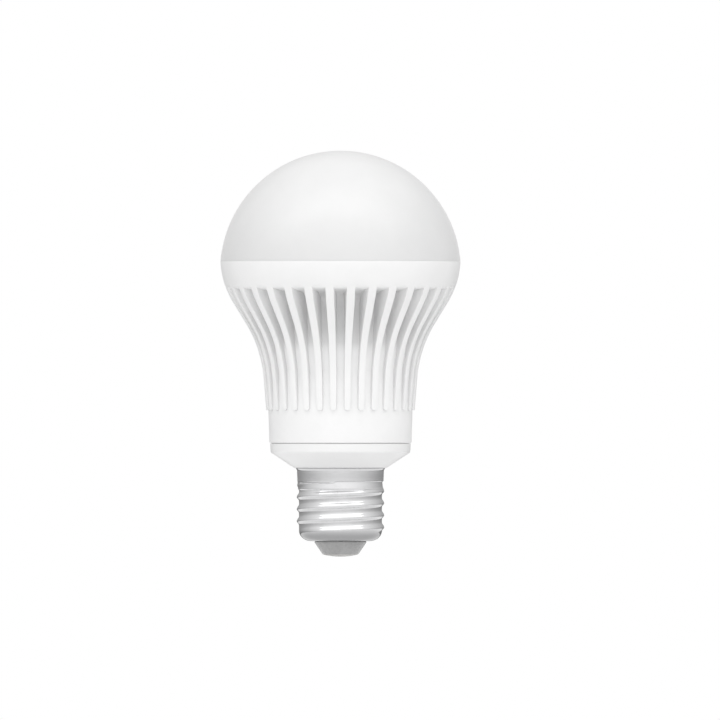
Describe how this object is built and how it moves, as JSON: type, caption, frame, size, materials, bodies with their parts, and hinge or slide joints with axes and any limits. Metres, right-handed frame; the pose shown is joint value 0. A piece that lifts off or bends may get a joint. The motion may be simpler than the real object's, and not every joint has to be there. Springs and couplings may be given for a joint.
{
  "type": "smart light bulb",
  "caption": "Smart light bulb with a frosted dome, a finned white heat sink and a screw base; a driver board, a radio board and an LED board are sealed inside.",
  "frame": {"origin": "at the tip of the centre contact, on the bulb's axis", "axes": "+Z along the bulb's axis from the screw base to the dome; -Y faces the viewer of the picture, with a gap between fins in front"},
  "size_m": [0.0722, 0.0722, 0.122],
  "materials": {
    "diffuser": "frosted opal polycarbonate, satin",
    "sealant": "white silicone",
    "heat_sink_paint": "white powder coat on a die-cast aluminium body, fine satin",
    "housing_plastic": "white moulded PBT",
    "shell_metal": "bright nickel-plated brass",
    "insulator_glass": "grey moulded insulating glass",
    "contact_metal": "tinned contact with a solder skin",
    "fibre_sheet": "insulating sheet",
    "thermal_silicone": "grey thermal silicone",
    "metal_core_board": "white solder mask on an aluminium board",
    "led_case": "white moulded lead frame package",
    "phosphor": "yellow phosphor in silicone",
    "screw_steel": "zinc-plated steel",
    "circuit_board": "green solder mask on glass-epoxy laminate",
    "radio_laminate": "dark solder mask on glass-epoxy laminate",
    "capacitor_sleeve": "printed shrink sleeve on an aluminium can",
    "film_case": "ochre epoxy-dipped film capacitor",
    "ferrite": "dark grey sintered ferrite",
    "bobbin_plastic": "black phenolic moulding",
    "winding_tape": "yellow polyester tape over enamelled wire",
    "enamelled_copper": "enamelled copper wire",
    "fuse_coat": "blue-grey flameproof coating",
    "varistor_coat": "blue epoxy coating",
    "chip_epoxy": "black moulded epoxy",
    "chip_ceramic": "tan ceramic with tinned ends",
    "tinned_lead": "tinned copper lead",
    "header_plastic": "black glass-filled nylon",
    "pin_gold": "gold flash on square brass pins",
    "shield_metal": "tinned nickel-silver can",
    "crystal_can": "bright metal can",
    "antenna_copper": "bare copper trace with a gold flash",
    "wire_red": "red PVC insulation",
    "wire_black": "black PVC insulation",
    "wire_brown": "brown PVC insulation",
    "wire_white": "white PVC insulation",
    "solder": "solder"
  },
  "bodies": {
    "root": {"diffuser_dome": "diffuser", "dome_sealant": "sealant", "heat_sink": "heat_sink_paint", "base_housing": "housing_plastic", "screw_shell": "shell_metal", "base_insulator": "insulator_glass", "centre_contact": "contact_metal", "insulation_disc": "fibre_sheet", "thermal_pad": "thermal_silicone", "led_board": "metal_core_board", "led_packages": "led_case", "led_phosphors": "phosphor", "board_screws": "screw_steel", "driver_board": "circuit_board", "bulk_capacitor": "capacitor_sleeve", "output_capacitor": "capacitor_sleeve", "film_capacitor": "film_case", "transformer_core": "ferrite", "transformer_bobbin": "bobbin_plastic", "transformer_winding": "winding_tape", "choke_core": "ferrite", "choke_winding": "enamelled_copper", "fuse_resistor": "fuse_coat", "surge_varistor": "varistor_coat", "bridge_rectifier": "chip_epoxy", "driver_chip": "chip_epoxy", "switching_transistor": "chip_epoxy", "chip_legs": "tinned_lead", "chip_components": "chip_ceramic", "component_pins": "tinned_lead", "radio_board": "radio_laminate", "radio_header": "header_plastic", "header_pins": "pin_gold", "radio_shield": "shield_metal", "radio_chip": "chip_epoxy", "control_chip": "chip_epoxy", "radio_crystal": "crystal_can", "radio_antenna": "antenna_copper", "live_lead": "wire_brown", "neutral_lead": "wire_white", "led_lead_positive": "wire_red", "led_lead_negative": "wire_black", "lead_solder": "solder"}
  },
  "joints": []
}
